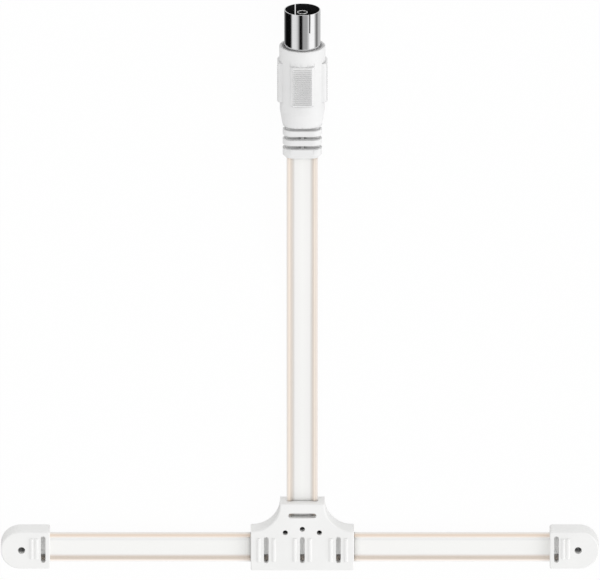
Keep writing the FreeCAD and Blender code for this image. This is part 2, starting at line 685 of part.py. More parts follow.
boot_solid = fuse("boot_solid", [relief, taper, barrel] + grips)
shell_rear = f"{rim} - dims.shell_seat"
boot_tools = [
    ribbon_bar("boot_bar", "dims.boot_seat", "Y"),
    block("boot_pocket", ("dims.core_width", f"{shell_rear} - dims.boot_seat", "dims.core_height"),
          "0", f"(dims.boot_seat + {shell_rear}) / 2", "0"),
    rod("boot_chamber", "dims.shell_diameter", "dims.shell_seat + 1", "Y", "0", shell_rear, "0")]
boot = cut("socket_boot", boot_solid, boot_tools + panels + relief_cuts)

# Coaxial socket: chromed shell, insulating disc and hollow centre contact
mouth = f"{rim} + dims.shell_reach"
tube = rod("shell_tube", "dims.shell_diameter", f"{mouth} - ({shell_rear})", "Y", "0", shell_rear, "0")
tube_bore = rod("shell_bore", "dims.shell_diameter - 2 * dims.shell_wall", f"{mouth} - ({shell_rear})", "Y",
                "0", shell_rear, "0")
slit = doc.addObject("Part::Box", "shell_slit")
bind(slit, Length="dims.slit_width", Width="dims.slit_length", Height="dims.shell_diameter")
place(slit, "-dims.slit_width / 2", f"{mouth} - dims.slit_length", "-dims.shell_diameter / 2")
slit_turned = fuse("shell_slit_turned", [slit, slit])
slit_turned.Placement = Placement(Vector(), Rotation(Vector(0, 1, 0), size("dims.slit_angle")))
shell = cut("socket_shell", tube, [tube_bore, slit_turned])

insulator_front = f"{mouth} - dims.insulator_setback"
disc = rod("insulator_disc", "dims.shell_diameter - 2 * dims.shell_wall", "dims.insulator_thickness", "Y",
           "0", f"{insulator_front} - dims.insulator_thickness", "0")
tail_hole = rod("insulator_hole", "dims.tail_diameter", "dims.insulator_thickness", "Y",
                "0", f"{insulator_front} - dims.insulator_thickness", "0")
insulator = cut("socket_insulator", disc, [tail_hole])

contact_length = "dims.insulator_setback - dims.contact_setback"
sleeve = rod("contact_sleeve", "dims.contact_diameter", contact_length, "Y", "0", insulator_front, "0")
pin_tail = rod("contact_tail", "dims.tail_diameter", "dims.tail_length", "Y", "0",
               f"{insulator_front} - dims.tail_length", "0")
pin_bore = rod("contact_hole", "dims.contact_bore", "dims.contact_bore_depth", "Y", "0",
               f"{mouth} - dims.contact_setback - dims.contact_bore_depth", "0")
contact = cut("centre_contact", fuse("contact_solid", [sleeve, pin_tail]), [pin_bore])

# Transformer: a ferrite core with two holes and two windings, from the ribbon's wires to the socket
core_middle = "dims.boot_seat + dims.core_start + dims.core_length / 2"
core_block = block("core_block", ("dims.core_width", "dims.core_length", "dims.core_height"),
                   "0", core_middle, "0")
core_block = bevel_edges("core_bevelled", core_block, [("dims.core_edge", lambda edge: edge.BoundBox.YLength > 1)])
core_holes = [rod(f"core_hole_{n}", "dims.core_hole_diameter", "dims.core_length", "Y",
                  f"{sign}dims.core_hole_spacing / 2", "dims.boot_seat + dims.core_start", "0")
              for n, sign in enumerate(("-", ""))]
core = cut("transformer_core", core_block, core_holes)
for piece in (boot, shell, insulator, contact, core):
    place(piece, "0", BOOT_PLACE, BOOT_AXIS)

winding_radius = size("dims.winding_wire") / 2
core_front = core_rear + size("dims.core_length")
tail_rear = size(f"{BOOT_PLACE} + {insulator_front} - dims.tail_length")
bore_radius = size("dims.shell_diameter / 2 - dims.shell_wall")
shell_end = size(f"{BOOT_PLACE} + {shell_rear}")
upper, lower = boot_axis + rise, boot_axis - rise
primary = bent_path([
    Vector(-hole_offset, core_rear - 0.8, upper), Vector(-hole_offset, core_front + 0.95, upper),
    Vector(hole_offset, core_front + 0.95, upper), Vector(hole_offset, core_rear - 0.8, upper)])
secondary = bent_path([
    Vector(0, tail_rear, boot_axis), Vector(0, tail_rear - 0.8, boot_axis),
    Vector(-hole_offset, core_front + 1.2, lower), Vector(-hole_offset, core_rear - 0.8, lower),
    Vector(hole_offset, core_rear - 0.8, lower), Vector(hole_offset, core_front + 1.0, lower),
    Vector(bore_radius - 0.9, shell_end + 0.3, lower), Vector(bore_radius - 0.45, shell_end + 1.6, lower)])
for name, path in (("primary_winding", primary), ("secondary_winding", secondary)):
    solid_part(name, sweep(path, round_section(path, winding_radius, WIRE_SIDES)))

NODES = [
    "junction_housing", "end_cap_left", "end_cap_right", "dipole_ribbon", "feeder_ribbon", "dipole_wire_lower",
    "dipole_wire_upper_left", "dipole_wire_upper_right", "feeder_wire_left", "feeder_wire_right", "splice_left",
    "splice_right", "end_link_left", "end_link_right", "socket_boot", "socket_shell", "socket_insulator",
    "centre_contact", "transformer_core", "primary_winding", "secondary_winding",
]
doc.recompute()
for item in doc.Objects:
    assert not {"Invalid", "Error"} & set(item.State), f"{item.Name} failed: {item.State}"
for node in NODES:
    item = doc.getObject(node)
    item.Label = node
    solid = item.Shape
    assert not solid.isNull() and solid.isValid() and solid.Solids, f"{node} has no valid solid"
    box = solid.BoundBox
    print(f"{node}: {len(solid.Solids)} solid, {solid.Volume:.2f} mm3, "
          f"x {box.XMin:.2f} to {box.XMax:.2f}, y {box.YMin:.2f} to {box.YMax:.2f}, z {box.ZMin:.2f} to {box.ZMax:.2f}")
for node in NODES:
    doc.getObject(node).Shape.exportStep(f"parts/{node}.step")
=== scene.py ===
"""Looks of the FM ribbon dipole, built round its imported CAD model.

The antenna lies on its back: the dipole runs along X, the feeder along +Y to the socket, and +Z is the front.
Lengths are in metres.
"""

import math

import bmesh
import bpy
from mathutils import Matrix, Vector


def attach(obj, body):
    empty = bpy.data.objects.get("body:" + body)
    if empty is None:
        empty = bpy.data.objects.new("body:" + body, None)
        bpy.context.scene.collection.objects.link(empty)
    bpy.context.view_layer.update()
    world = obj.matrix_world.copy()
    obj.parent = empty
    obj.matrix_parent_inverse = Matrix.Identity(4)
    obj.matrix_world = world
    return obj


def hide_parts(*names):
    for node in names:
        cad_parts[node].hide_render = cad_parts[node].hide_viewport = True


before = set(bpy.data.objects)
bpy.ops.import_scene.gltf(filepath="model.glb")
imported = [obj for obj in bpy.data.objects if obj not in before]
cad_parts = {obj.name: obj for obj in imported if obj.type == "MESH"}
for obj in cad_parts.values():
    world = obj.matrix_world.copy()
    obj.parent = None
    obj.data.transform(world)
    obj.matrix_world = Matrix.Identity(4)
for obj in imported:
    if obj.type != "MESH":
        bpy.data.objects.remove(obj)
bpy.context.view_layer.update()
scene = bpy.context.scene
scene.view_settings.view_transform = "Standard"


# Camera
# The antenna is seen from the front, tilted 20.6 degrees over on the socket's side, so that the mouth of the
# socket shows. The lens is very long, as the picture has almost no perspective.
tilt = math.radians(20.6)
aim = Vector((-0.000656, 0.07725, 0.0030))
camera_distance = 7.511
camera_data = bpy.data.cameras.new("camera")
camera_data.lens = 1606.0
camera_data.sensor_width = 36.0
camera_data.clip_end = 100.0
camera = bpy.data.objects.new("camera", camera_data)
camera.location = aim + camera_distance * Vector((0.0, math.sin(tilt), math.cos(tilt)))
camera.rotation_euler = (-tilt, 0.0, 0.0)
scene.collection.objects.link(camera)
scene.camera = camera


# Studio
# A white table that is lit a little from inside and keeps a faint shadow, a soft lamp from the right, and a tent
# of white cards with black gaps, which only the plating shows.
def linear(colour):
    """An sRGB hex colour as linear red, green, blue and alpha."""
    channels = [int(colour[n:n + 2], 16) / 255 for n in (1, 3, 5)]
    return [c / 12.92 if c <= 0.04045 else ((c + 0.055) / 1.055) ** 2.4 for c in channels] + [1.0]


def add_node(tree, kind, settings=None, inputs=None):
    """A node with its settings, and with each input given a value or another node's output."""
    node = tree.nodes.new(kind)
    for name, value in (settings or {}).items():
        setattr(node, name, value)
    for name, value in (inputs or {}).items():
        if isinstance(value, bpy.types.NodeSocket):
            tree.links.new(value, node.inputs[name])
        else:
            node.inputs[name].default_value = value
    return node


def fill_ramp(ramp, stops):
    """Gives a colour ramp its stops, each a position and an sRGB hex colour."""
    elements = ramp.color_ramp.elements
    while len(elements) < len(stops):
        elements.new(1.0)
    for element, (position, colour) in zip(elements, stops):
        element.position = position
        element.color = linear(colour)


table_size = 6.0
table_drop = 0.0001
table_mesh = bpy.data.meshes.new("table")
half = table_size / 2
table_mesh.from_pydata([(x, y, -table_drop) for x, y in ((-half, -half), (half, -half), (half, half), (-half, half))],
                       [], [(0, 1, 2, 3)])
table = bpy.data.objects.new("table", table_mesh)
scene.collection.objects.link(table)
table.visible_glossy = False

table_white = bpy.data.materials.new("white_table_lacquer")
table_white.use_nodes = True
tree = table_white.node_tree
tree.nodes.clear()
# The camera sees the glow with a small share of lacquer, which holds the shadow. The antenna gets less of the glow.
shadow_share, table_glow = 0.045, 0.36
lacquer = add_node(tree, "ShaderNodeBsdfDiffuse", inputs={"Color": linear("#F6F6F6")})
glow = add_node(tree, "ShaderNodeEmission", inputs={"Color": linear("#FFFFFF"), "Strength": 1.0})
rays = add_node(tree, "ShaderNodeLightPath")
share = add_node(tree, "ShaderNodeMath", {"operation": "MULTIPLY_ADD"},
                 {0: rays.outputs["Is Camera Ray"], 1: 1.0 - shadow_share - table_glow, 2: table_glow})
surface = add_node(tree, "ShaderNodeMixShader",
                   inputs={0: share.outputs[0], 1: lacquer.outputs[0], 2: glow.outputs[0]})
add_node(tree, "ShaderNodeOutputMaterial", inputs={"Surface": surface.outputs[0]})
table_mesh.materials.append(table_white)

world = bpy.data.worlds.new("light_tent")
scene.world = world
world.use_nodes = True
tree = world.node_tree
tree.nodes.clear()
room_level = 0.88
direction = add_node(tree, "ShaderNodeTexCoord")
parts = add_node(tree, "ShaderNodeSeparateXYZ", inputs={"Vector": direction.outputs["Generated"]})
angle = add_node(tree, "ShaderNodeMath", {"operation": "ARCTAN2"}, {0: parts.outputs["X"], 1: parts.outputs["Z"]})
turn = add_node(tree, "ShaderNodeMath", {"operation": "MULTIPLY_ADD"},
                {0: angle.outputs[0], 1: 1 / math.tau, 2: 0.5})
# Cards by their angle about the socket's axis, in degrees, from straight up towards the right
cards = [(-180, "#FFFFFF"), (-173, "#B8B8B8"), (-160, "#909090"), (-142, "#585858"), (-126, "#0A0A0A"),
         (-78, "#0A0A0A"), (-65, "#E6E6E6"), (-41, "#E3E3E3"), (-29, "#C4C4C4"), (-16, "#040404"), (-3, "#040404"),
         (6, "#9E9E9E"), (28, "#A2A2A2"), (36, "#C0C0C0"), (50, "#FFFFFF"), (78, "#FFFFFF"), (94, "#989898"),
         (104, "#686868"), (127, "#C4C4C4"), (172, "#C8C8C8"), (180, "#FFFFFF")]
tent = add_node(tree, "ShaderNodeValToRGB", inputs={"Fac": turn.outputs[0]})
fill_ramp(tent, [(degrees / 360 + 0.5, colour) for degrees, colour in cards])
room = add_node(tree, "ShaderNodeBackground", inputs={"Color": linear("#FFFFFF"), "Strength": room_level})
mirrored = add_node(tree, "ShaderNodeBackground", inputs={"Color": tent.outputs["Color"], "Strength": 1.0})
backdrop = add_node(tree, "ShaderNodeBackground", inputs={"Color": linear("#FFFFFF"), "Strength": 1.0})
rays = add_node(tree, "ShaderNodeLightPath")
lit = add_node(tree, "ShaderNodeMixShader",
               inputs={0: rays.outputs["Is Glossy Ray"], 1: room.outputs[0], 2: mirrored.outputs[0]})
seen = add_node(tree, "ShaderNodeMixShader",
                inputs={0: rays.outputs["Is Camera Ray"], 1: lit.outputs[0], 2: backdrop.outputs[0]})
add_node(tree, "ShaderNodeOutputWorld", inputs={"Surface": seen.outputs[0]})

lamp_data = bpy.data.lights.new("soft_lamp", "SUN")
lamp_data.energy = 0.75
lamp_data.angle = math.radians(40)
lamp = bpy.data.objects.new("soft_lamp", lamp_data)
towards_lamp = Vector((0.78, -0.35, 0.50))
lamp.rotation_euler = towards_lamp.to_track_quat("Z", "Y").to_euler()
lamp.visible_glossy = False
scene.collection.objects.link(lamp)


# Ribbons
# Each run of twin lead is a free cord: two round beads of clear insulation, each over a bare copper wire, joined
# by a thin milky web. The two arms are pulled straight between the mouldings, and the feeder droops to the table.
bead_spacing = 0.0072
bead_radius = 0.0008
web_half = 0.00035
ribbon_width = bead_spacing + 2 * bead_radius
arm_height = 0.0030
junction_half = 0.01455
arm_middle = 0.045
left_end, right_end = -0.07565, 0.07425
# The feeder starts inside the junction's neck and ends inside the boot
feeder_start, neck_top = 0.0050, 0.0140
boot_rear, feeder_end = 0.1188, 0.1308
socket_axis = 0.00705

# Colours across the ribbon, by places from one edge to the other. The copper warms the clear beads, and the
# web is milky. The bands also hold painted shade and light. On the arms each bead is painted tanner and darker
# on its side towards +Y and lighter on its side towards -Y, and the grey line where the web meets the bead
# towards -Y is painted shade. On the feeder the grey bands where the web meets the beads are painted shade, and
# the bead flanks that face away from the lamp are painted lighter, to even out the lamp's shading.
clear_edge, warm_bead, copper_tone_in_shade, joint_shade, milky_web = "#F8F6F3", "#FBF2E9", "#EFDDCD", "#E2D6CA", "#FAFAF8"
arm_colours = [(0.00, clear_edge), (0.05, "#FFFBF8"), (0.085, "#FEF1E7"), (0.12, joint_shade), (0.19, joint_shade),
               (0.24, "#EFEBE8"), (0.28, milky_web), (0.71, milky_web), (0.76, "#F2F2F2"), (0.81, "#F4F4F3"),
               (0.86, warm_bead), (0.905, copper_tone_in_shade), (0.945, copper_tone_in_shade), (1.00, clear_edge)]
feeder_colours = [(0.00, "#FAF6F2"), (0.045, "#F8ECE1"), (0.095, "#FBEEE1"), (0.135, "#D6CBC1"), (0.17, "#D8D0C8"),
                  (0.215, "#DEDAD6"), (0.265, "#F6F5F4"), (0.50, milky_web), (0.735, "#F6F5F4"), (0.785, "#E2DFDB"),
                  (0.85, "#ECE0D5"), (0.885, "#FEF2E5"), (0.92, "#EADFD5"), (0.96, "#E8DED5"), (1.00, "#F3EFEC")]

# Places of a Mix node's colours among its inputs and outputs, where several share a name
colour_a, colour_b, mixed = 6, 7, 2

# Extruded polyethylene is waxy, with faint draw lines along it, by which its bands of colour wander a little
line_wander = 0.008
insulations = []
for name, colours in (("extruded_arm_insulation", arm_colours), ("extruded_feeder_insulation", feeder_colours)):
    insulation = bpy.data.materials.new(name)
    insulation.use_nodes = True
    tree = insulation.node_tree
    polyethylene = tree.nodes["Principled BSDF"]
    polyethylene.inputs["IOR"].default_value = 1.51
    on_ribbon = add_node(tree, "ShaderNodeUVMap", {"uv_map": "across_and_along"})
    across_along = add_node(tree, "ShaderNodeSeparateXYZ", inputs={"Vector": on_ribbon.outputs[0]})
    drawn = add_node(tree, "ShaderNodeMapping", inputs={"Vector": on_ribbon.outputs[0], "Scale": (40.0, 0.6, 1.0)})
    lines = add_node(tree, "ShaderNodeTexNoise", inputs={"Vector": drawn.outputs[0], "Scale": 1.0, "Detail": 3.0})
    wander = add_node(tree, "ShaderNodeMath", {"operation": "MULTIPLY_ADD"},
                      {0: lines.outputs[0], 1: line_wander, 2: -line_wander / 2})
    place = add_node(tree, "ShaderNodeMath", {"operation": "ADD"},
                     {0: across_along.outputs["X"], 1: wander.outputs[0]})
    bands = add_node(tree, "ShaderNodeValToRGB", inputs={"Fac": place.outputs[0]})
    fill_ramp(bands, colours)
    # Painted shade: the ribbon is darkened to a dark brown by its ambient occlusion at the bottom of the mouldings'
    # slots
    nooks = add_node(tree, "ShaderNodeAmbientOcclusion", {"samples": 8}, {"Distance": 0.003})
    openness = add_node(tree, "ShaderNodeMapRange",
                        inputs={"Value": nooks.outputs["AO"], "From Min": 0.06, "From Max": 0.2})
    shaded_in_nooks = add_node(tree, "ShaderNodeMix", {"data_type": "RGBA"},
                      {"Factor": openness.outputs[0], colour_a: linear("#36322D"), colour_b: bands.outputs["Color"]})
    tree.links.new(shaded_in_nooks.outputs[mixed], polyethylene.inputs["Base Color"])
    sheen = add_node(tree, "ShaderNodeMapRange", inputs={"Value": lines.outputs[0], "To Min": 0.26, "To Max": 0.36})
    tree.links.new(sheen.outputs[0], polyethylene.inputs["Roughness"])
    ripple = add_node(tree, "ShaderNodeBump",
                      inputs={"Height": lines.outputs[0], "Strength": 0.25, "Distance": 0.00003})
    tree.links.new(ripple.outputs[0], polyethylene.inputs["Normal"])
    insulations.append(insulation)
arm_insulation, feeder_insulation = insulations


def route_line(name, control_points):
    """Points along the smooth route that the control points give."""
    curve = bpy.data.curves.new(name, "CURVE")
    curve.dimensions = "3D"
    curve.resolution_u = 16
    spline = curve.splines.new("NURBS")
    spline.points.add(len(control_points) - 1)
    for point, place in zip(spline.points, control_points):
        point.co = (*place, 1.0)
    spline.order_u = 3
    spline.use_endpoint_u = True
    holder = bpy.data.objects.new(name, curve)
    scene.collection.objects.link(holder)
    line = bpy.data.meshes.new_from_object(holder)
    points = [vertex.co.copy() for vertex in line.vertices]
    bpy.data.objects.remove(holder)
    bpy.data.curves.remove(curve)
    bpy.data.meshes.remove(line)
    return points


def half_section():
    """Upper half of the twin lead's section from its middle to its edge: places across it and heights."""
    # The web, which thickens towards the bead
    thickening = [(0.0, 1.0), (0.0012, 1.0), (0.0023, 1.0), (0.0026, 1.01), (0.00278, 1.08), (0.0029, 1.24)]
    outline = [(place, web_half * share) for place, share in thickening]
    # The bead, from where the web meets it to its outer side
    bead_middle, first_degrees, last_degrees, step = bead_spacing / 2, 140, 14, 18
    for degrees in range(first_degrees, last_degrees - 1, -step):
        outline.append((bead_middle + bead_radius * math.cos(math.radians(degrees)),
                        bead_radius * math.sin(math.radians(degrees))))
    return outline


def ribbon_piece(name, points, across, insulation):
    """Twin lead along a line of points, with its width along a fixed direction."""
    upper = half_section()
    half_width = ribbon_width / 2
    top = [(-a, h) for a, h in reversed(upper[1:])] + upper
    section = [(-half_width, 0.0)] + top + [(half_width, 0.0)] + [(a, -h) for a, h in reversed(top)]
    last_top = len(top)
    mesh = bmesh.new()
    uv = mesh.loops.layers.uv.new("across_and_along")
    rings, travelled = [], [0.0]
    for n, point in enumerate(points):
        ahead = points[min(n + 1, len(points) - 1)] - points[max(n - 1, 0)]
        up = across.cross(ahead.normalized()).normalized()
        rings.append([mesh.verts.new(point + across * a + up * h) for a, h in section])
        if n:
            travelled.append(travelled[-1] + (point - points[n - 1]).length)
    count = len(section)
    face_marks = []
    for n in range(len(rings) - 1):
        for k in range(count):
            after = (k + 1) % count
            face = mesh.faces.new((rings[n][k], rings[n][after], rings[n + 1][after], rings[n + 1][k]))
            face_marks.append((face, ((k, n), (after, n), (after, n + 1), (k, n + 1))))
    cut_faces = [(k, k + 1, count - k - 1, count - k) for k in range(1, last_top)]
    cut_faces += [(0, 1, count - 1), (last_top, last_top + 1, last_top + 2)]
    for ring, n in ((rings[0], 0), (rings[-1], len(rings) - 1)):
        for corners in cut_faces:
            face = mesh.faces.new([ring[c] for c in corners])
            face_marks.append((face, [(c, n) for c in corners]))
    for face, marks in face_marks:
        face.smooth = len(face.verts) == 4 and marks[0][1] != marks[-1][1]
        for loop, (k, n) in zip(face.loops, marks):
            loop[uv].uv = (section[k][0] / ribbon_width + 0.5, travelled[n] / ribbon_width)
    bmesh.ops.recalc_face_normals(mesh, faces=mesh.faces)
    data = bpy.data.meshes.new(name)
    mesh.to_mesh(data)
    mesh.free()
    data.materials.append(insulation)
    piece = bpy.data.objects.new(name, data)
    scene.collection.objects.link(piece)
    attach(piece, "root")
    return piece


left_route = route_line("left_route", [(x, 0.0, arm_height) for x in (-junction_half, -arm_middle, left_end)])
right_route = route_line("right_route", [(x, 0.0, arm_height) for x in (junction_half, arm_middle, right_end)])
feeder_route = route_line("feeder_route", [
    (0.0, 0.0140, 0.00300), (0.0, 0.0260, 0.00300), (0.0, 0.0460, 0.00100), (0.0, 0.0660, 0.00090),
    (0.0, 0.0800, 0.00200), (0.0, 0.0945, 0.00560), (0.0, 0.1070, 0.00705), (0.0, 0.1188, 0.00705)])
across_arms, across_feeder = Vector((0.0, 1.0, 0.0)), Vector((1.0, 0.0, 0.0))
left_arm = ribbon_piece("left_arm_ribbon", left_route, across_arms, arm_insulation)
right_arm = ribbon_piece("right_arm_ribbon", right_route[::-1], across_arms, arm_insulation)
feeder = ribbon_piece("feeder_ribbon_run", feeder_route, across_feeder, feeder_insulation)

# Stretches of the ribbons inside the mouldings, which the slots show
middle_stretch = ribbon_piece("ribbon_in_junction",
                              [Vector((x, 0.0, arm_height)) for x in (junction_half, 0.0, -junction_half)],
                              across_arms, arm_insulation)
neck_stretch = ribbon_piece("feeder_in_neck", [Vector((0.0, y, arm_height)) for y in (feeder_start, neck_top)],
                            across_feeder, feeder_insulation)
boot_stretch = ribbon_piece("feeder_in_boot", [Vector((0.0, y, socket_axis)) for y in (boot_rear, feeder_end)],
                            across_feeder, feeder_insulation)
for piece in (left_arm, right_arm, middle_stretch):
    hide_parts("dipole_ribbon")
for piece in (feeder, neck_stretch, boot_stretch):
    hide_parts("feeder_ribbon")


# Wires
# Bare drawn copper in the beads of both ribbons. The dipole's two ends are shorted by soldered links, and the
# feeder's two wires are soldered into the gap in its upper wire.

# Drawn copper is bright where it is fresh and browner where it has tarnished
drawn_copper = bpy.data.materials.new("drawn_copper_wire")
drawn_copper.use_nodes = True
tree = drawn_copper.node_tree
copper = tree.nodes["Principled BSDF"]
copper.inputs["Metallic"].default_value = 1.0
spot = add_node(tree, "ShaderNodeTexCoord")
tarnish = add_node(tree, "ShaderNodeTexNoise",
                   inputs={"Vector": spot.outputs["Object"], "Scale": 900.0, "Detail": 4.0})
tint = add_node(tree, "ShaderNodeValToRGB", inputs={"Fac": tarnish.outputs[0]})
fill_ramp(tint, [(0.3, "#A86C48"), (0.7, "#CE946C")])
tree.links.new(tint.outputs["Color"], copper.inputs["Base Color"])
dull = add_node(tree, "ShaderNodeMapRange", inputs={"Value": tarnish.outputs[0], "To Min": 0.28, "To Max": 0.5})
tree.links.new(dull.outputs[0], copper.inputs["Roughness"])

# Solder sets to a satin grey with a fine grain
satin_solder = bpy.data.materials.new("satin_tin_solder")
satin_solder.use_nodes = True
tree = satin_solder.node_tree
solder = tree.nodes["Principled BSDF"]
solder.inputs["Metallic"].default_value = 1.0
spot = add_node(tree, "ShaderNodeTexCoord")
grain = add_node(tree, "ShaderNodeTexNoise",
                 inputs={"Vector": spot.outputs["Object"], "Scale": 2200.0, "Detail": 5.0})
tint = add_node(tree, "ShaderNodeValToRGB", inputs={"Fac": grain.outputs[0]})
fill_ramp(tint, [(0.3, "#9A9B9D"), (0.7, "#C6C7C9")])
tree.links.new(tint.outputs["Color"], solder.inputs["Base Color"])
dull = add_node(tree, "ShaderNodeMapRange", inputs={"Value": grain.outputs[0], "To Min": 0.3, "To Max": 0.55})
tree.links.new(dull.outputs[0], solder.inputs["Roughness"])


def finish_nodes(material, *nodes):
    """Gives CAD nodes a material of this scene."""
    for node in nodes:
        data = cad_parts[node].data
        data.materials.clear()
        data.materials.append(material)


finish_nodes(drawn_copper, "dipole_wire_lower", "dipole_wire_upper_left", "dipole_wire_upper_right",
             "feeder_wire_left", "feeder_wire_right")
finish_nodes(satin_solder, "splice_left", "splice_right", "end_link_left", "end_link_right")


# Junction and end caps
# White PVC moulded round the ribbons in one shot. The slots, round holes and short ribs are left by the pins
# that hold the ribbon in the mould, and each end cap has a hole for a nail.

# A satin mould face gives PVC a soft, even highlight
moulded_pvc = bpy.data.materials.new("moulded_white_pvc")
moulded_pvc.use_nodes = True
tree = moulded_pvc.node_tree
pvc = tree.nodes["Principled BSDF"]
pvc.inputs["IOR"].default_value = 1.54
spot = add_node(tree, "ShaderNodeTexCoord")
clouds = add_node(tree, "ShaderNodeTexNoise",
                  inputs={"Vector": spot.outputs["Object"], "Scale": 110.0, "Detail": 3.0})
tint = add_node(tree, "ShaderNodeValToRGB", inputs={"Fac": clouds.outputs[0]})
fill_ramp(tint, [(0.3, "#F3F3F2"), (0.7, "#F7F7F6")])
# Painted shade: the slots and holes are darkened by their ambient occlusion, where little light comes back from them
nooks = add_node(tree, "ShaderNodeAmbientOcclusion", {"samples": 8}, {"Distance": 0.004})
openness = add_node(tree, "ShaderNodeMapRange",
                    inputs={"Value": nooks.outputs["AO"], "From Min": 0.02, "From Max": 0.06})
shaded_in_nooks = add_node(tree, "ShaderNodeMix", {"data_type": "RGBA"},
                  {"Factor": openness.outputs[0], colour_a: linear("#3C3C3C"), colour_b: tint.outputs["Color"]})
tree.links.new(shaded_in_nooks.outputs[mixed], pvc.inputs["Base Color"])
# The spark-eroded grain is about 0.05 mm, and is drawn at 0.35 mm so that it shows
grain = add_node(tree, "ShaderNodeTexNoise",
                 inputs={"Vector": spot.outputs["Object"], "Scale": 2900.0, "Detail": 2.0})
satin = add_node(tree, "ShaderNodeMapRange", inputs={"Value": grain.outputs[0], "To Min": 0.38, "To Max": 0.5})
tree.links.new(satin.outputs[0], pvc.inputs["Roughness"])
texture = add_node(tree, "ShaderNodeBump",
                   inputs={"Height": grain.outputs[0], "Strength": 0.12, "Distance": 0.00003})
tree.links.new(texture.outputs[0], pvc.inputs["Normal"])
finish_nodes(moulded_pvc, "junction_housing", "end_cap_left", "end_cap_right")


# Boot
# Softer PVC moulded over the rear of the socket and the ribbon's end. It has ridged pads for the fingers on
# four sides and a grooved strain relief.

# Soft PVC has a satin face too, a little duller than the junction's
boot_pvc = bpy.data.materials.new("moulded_boot_pvc")
boot_pvc.use_nodes = True
tree = boot_pvc.node_tree
soft_pvc = tree.nodes["Principled BSDF"]
soft_pvc.inputs["IOR"].default_value = 1.53
spot = add_node(tree, "ShaderNodeTexCoord")
clouds = add_node(tree, "ShaderNodeTexNoise",
                  inputs={"Vector": spot.outputs["Object"], "Scale": 130.0, "Detail": 3.0})
tint = add_node(tree, "ShaderNodeValToRGB", inputs={"Fac": clouds.outputs[0]})
fill_ramp(tint, [(0.3, "#ECECEC"), (0.7, "#F0F0F0")])
# Painted shade: the grooves and the spaces between the ridges are greyed by their ambient occlusion, and the shade
# colour fades out at the rim
nooks = add_node(tree, "ShaderNodeAmbientOcclusion", {"samples": 8}, {"Distance": 0.0011})
openness = add_node(tree, "ShaderNodeMapRange",
                    inputs={"Value": nooks.outputs["AO"], "From Min": 0.2, "From Max": 0.86})
place = add_node(tree, "ShaderNodeSeparateXYZ", inputs={"Vector": spot.outputs["Object"]})
rim_share = add_node(tree, "ShaderNodeMapRange",
                     inputs={"Value": place.outputs["Y"], "From Min": 0.145, "From Max": 0.15})
nook_shade_tone = add_node(tree, "ShaderNodeMix", {"data_type": "RGBA"},
                {"Factor": rim_share.outputs[0], colour_a: linear("#6C6C6C"), colour_b: linear("#ECECEC")})
shaded_in_nooks = add_node(tree, "ShaderNodeMix", {"data_type": "RGBA"},
                  {"Factor": openness.outputs[0], colour_a: nook_shade_tone.outputs[mixed], colour_b: tint.outputs["Color"]})
tree.links.new(shaded_in_nooks.outputs[mixed], soft_pvc.inputs["Base Color"])
# This grain too is finer on the real boot, and is drawn at 0.4 mm so that it shows
grain = add_node(tree, "ShaderNodeTexNoise",
                 inputs={"Vector": spot.outputs["Object"], "Scale": 2600.0, "Detail": 2.0})
satin = add_node(tree, "ShaderNodeMapRange", inputs={"Value": grain.outputs[0], "To Min": 0.4, "To Max": 0.52})
tree.links.new(satin.outputs[0], soft_pvc.inputs["Roughness"])
texture = add_node(tree, "ShaderNodeBump",
                   inputs={"Height": grain.outputs[0], "Strength": 0.12, "Distance": 0.00003})
tree.links.new(texture.outputs[0], soft_pvc.inputs["Normal"])

# The boot keeps its CAD form. Only the pads' faces are lowered along their slopes, to make room for the ridges,
# and the mouth's rim is drawn 0.3 mm higher with a smaller bevel.
grip_middle_y, pad_floor = 0.1418, 0.00676
face_half_width, face_top, face_foot = 0.00269, 0.00559, 0.00584
rim_top, rim_bevel, barrel_radius, taper_top = 0.15190, 0.00018, 0.00647, 0.1330
# Where these parts lie on the CAD boot: the rim above a level, its bevel's inner edge between two radii, and the
# corners of a pad's face beyond two distances from its middle
rim_level, bevel_inside, bevel_outside = 0.151, 0.0055, 0.0062
corner_across, corner_along, close_by = 0.0022, 0.00515, 0.0001
boot_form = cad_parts["socket_boot"].data.copy()
boot_form.name = "moulded_boot"
mesh = bmesh.new()
mesh.from_mesh(boot_form)
bmesh.ops.remove_doubles(mesh, verts=mesh.verts, dist=0.000001)
for vertex in mesh.verts:
    from_axis = Vector((vertex.co.x, vertex.co.z - socket_axis))
    if vertex.co.y > rim_level:
        if bevel_inside < from_axis.length < bevel_outside:
            from_axis.length = barrel_radius - rim_bevel
        bevel_foot = from_axis.length > barrel_radius - close_by
        vertex.co = (from_axis[0], rim_top - (rim_bevel if bevel_foot else 0.0), socket_axis + from_axis[1])
        continue
    out, side = (0, 1) if abs(from_axis[0]) > abs(from_axis[1]) else (1, 0)
    if abs(from_axis[out]) <= pad_floor:
        continue
    from_axis[out] = math.copysign(pad_floor, from_axis[out])
    if abs(from_axis[side]) > corner_across:
        from_axis[side] = math.copysign(face_half_width, from_axis[side])
    along = vertex.co.y - grip_middle_y
    if abs(along) > corner_along:
        along = face_top if along > 0 else -face_foot
    vertex.co = (from_axis[0], grip_middle_y + along, socket_axis + from_axis[1])
bmesh.ops.recalc_face_normals(mesh, faces=mesh.faces)
mesh.to_mesh(boot_form)
mesh.free()
boot_form.materials.clear()
boot_form.materials.append(boot_pvc)
boot_form.shade_smooth()
boot_form.set_sharp_from_angle(angle=math.radians(25))
